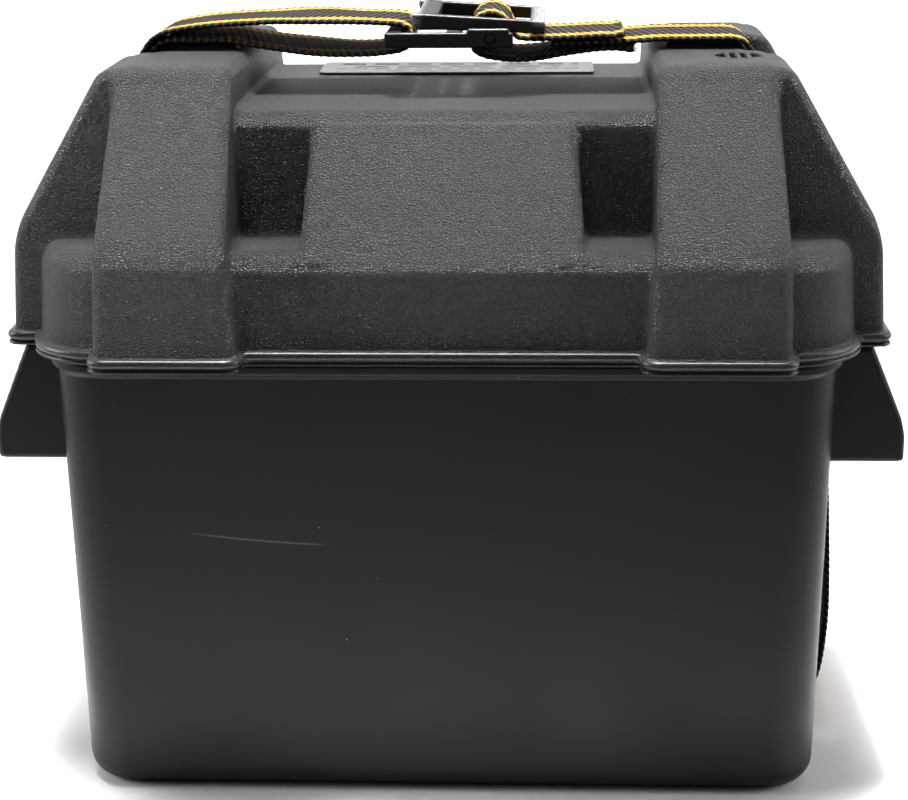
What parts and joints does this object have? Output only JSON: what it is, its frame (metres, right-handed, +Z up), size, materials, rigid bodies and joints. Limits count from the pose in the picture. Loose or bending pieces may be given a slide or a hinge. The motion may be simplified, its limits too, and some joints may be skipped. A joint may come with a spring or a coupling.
{
  "type": "deep cycle battery in a strapped battery box",
  "caption": "Strapped plastic battery box with tapered tub, ridged vented lid, cam-buckle webbing strap and a sealed deep cycle battery inside.",
  "frame": {"origin": "centre of the footprint, on the surface that the box stands on", "axes": "+Z up, +X along the long side towards the end with the right-hand handle seen from the front, front faces -Y"},
  "size_m": [0.2746, 0.194, 0.2307],
  "materials": {
    "lid": "black polypropylene with a moulded leather grain, semi-matte",
    "base": "black polypropylene, smooth satin",
    "label": "light grey satin label with plain dark bars, no lettering",
    "webbing": "black polypropylene webbing with two yellow-orange stripes",
    "buckle": "black acetal, satin, worn lighter at the ends",
    "battery_case": "grey moulded polypropylene",
    "battery_cover": "dark grey moulded polypropylene",
    "cap_rubber": "matt black rubber",
    "plate_pack": "lead plates with glass-mat separators, dull",
    "lead": "cast lead alloy, dull grey",
    "zinc_steel": "zinc-plated steel"
  },
  "bodies": {
    "base": {"base_box": "base", "strap_lower": "webbing", "battery_case": "battery_case", "battery_cover": "battery_cover", "vent_strip": "battery_cover", "vent_cap_1": "cap_rubber", "vent_cap_2": "cap_rubber", "vent_cap_3": "cap_rubber", "vent_cap_4": "cap_rubber", "vent_cap_5": "cap_rubber", "vent_cap_6": "cap_rubber", "cell_pack_1": "plate_pack", "cell_pack_2": "plate_pack", "cell_pack_3": "plate_pack", "cell_pack_4": "plate_pack", "cell_pack_5": "plate_pack", "cell_pack_6": "plate_pack", "cell_link_1": "lead", "cell_link_2": "lead", "cell_link_3": "lead", "cell_link_4": "lead", "cell_link_5": "lead", "terminal_negative": "lead", "terminal_positive": "lead", "terminal_bolt_negative": "zinc_steel", "terminal_bolt_positive": "zinc_steel", "terminal_nut_negative": "zinc_steel", "terminal_nut_positive": "zinc_steel"},
    "lid": {"lid": "lid", "lid_label": "label", "strap_left": "webbing", "strap_right_fold": "webbing", "strap_right": "webbing", "strap_right_tail": "webbing", "buckle_frame": "buckle", "buckle_pin_front": "buckle", "buckle_pin_rear": "buckle"},
    "lever": {"buckle_lever": "buckle", "strap_buckle_loop": "webbing"}
  },
  "joints": [
    {"name": "lid_lift", "type": "slide", "parent": "base", "child": "lid", "axis": [0, 0, 1], "range_m": [0, 0.05]},
    {"name": "buckle_open", "type": "hinge", "parent": "lid", "child": "lever", "pos_m": [0.0125, 0, 0.2232], "axis": [0, 1, 0], "range_deg": [0, 60]}
  ]
}
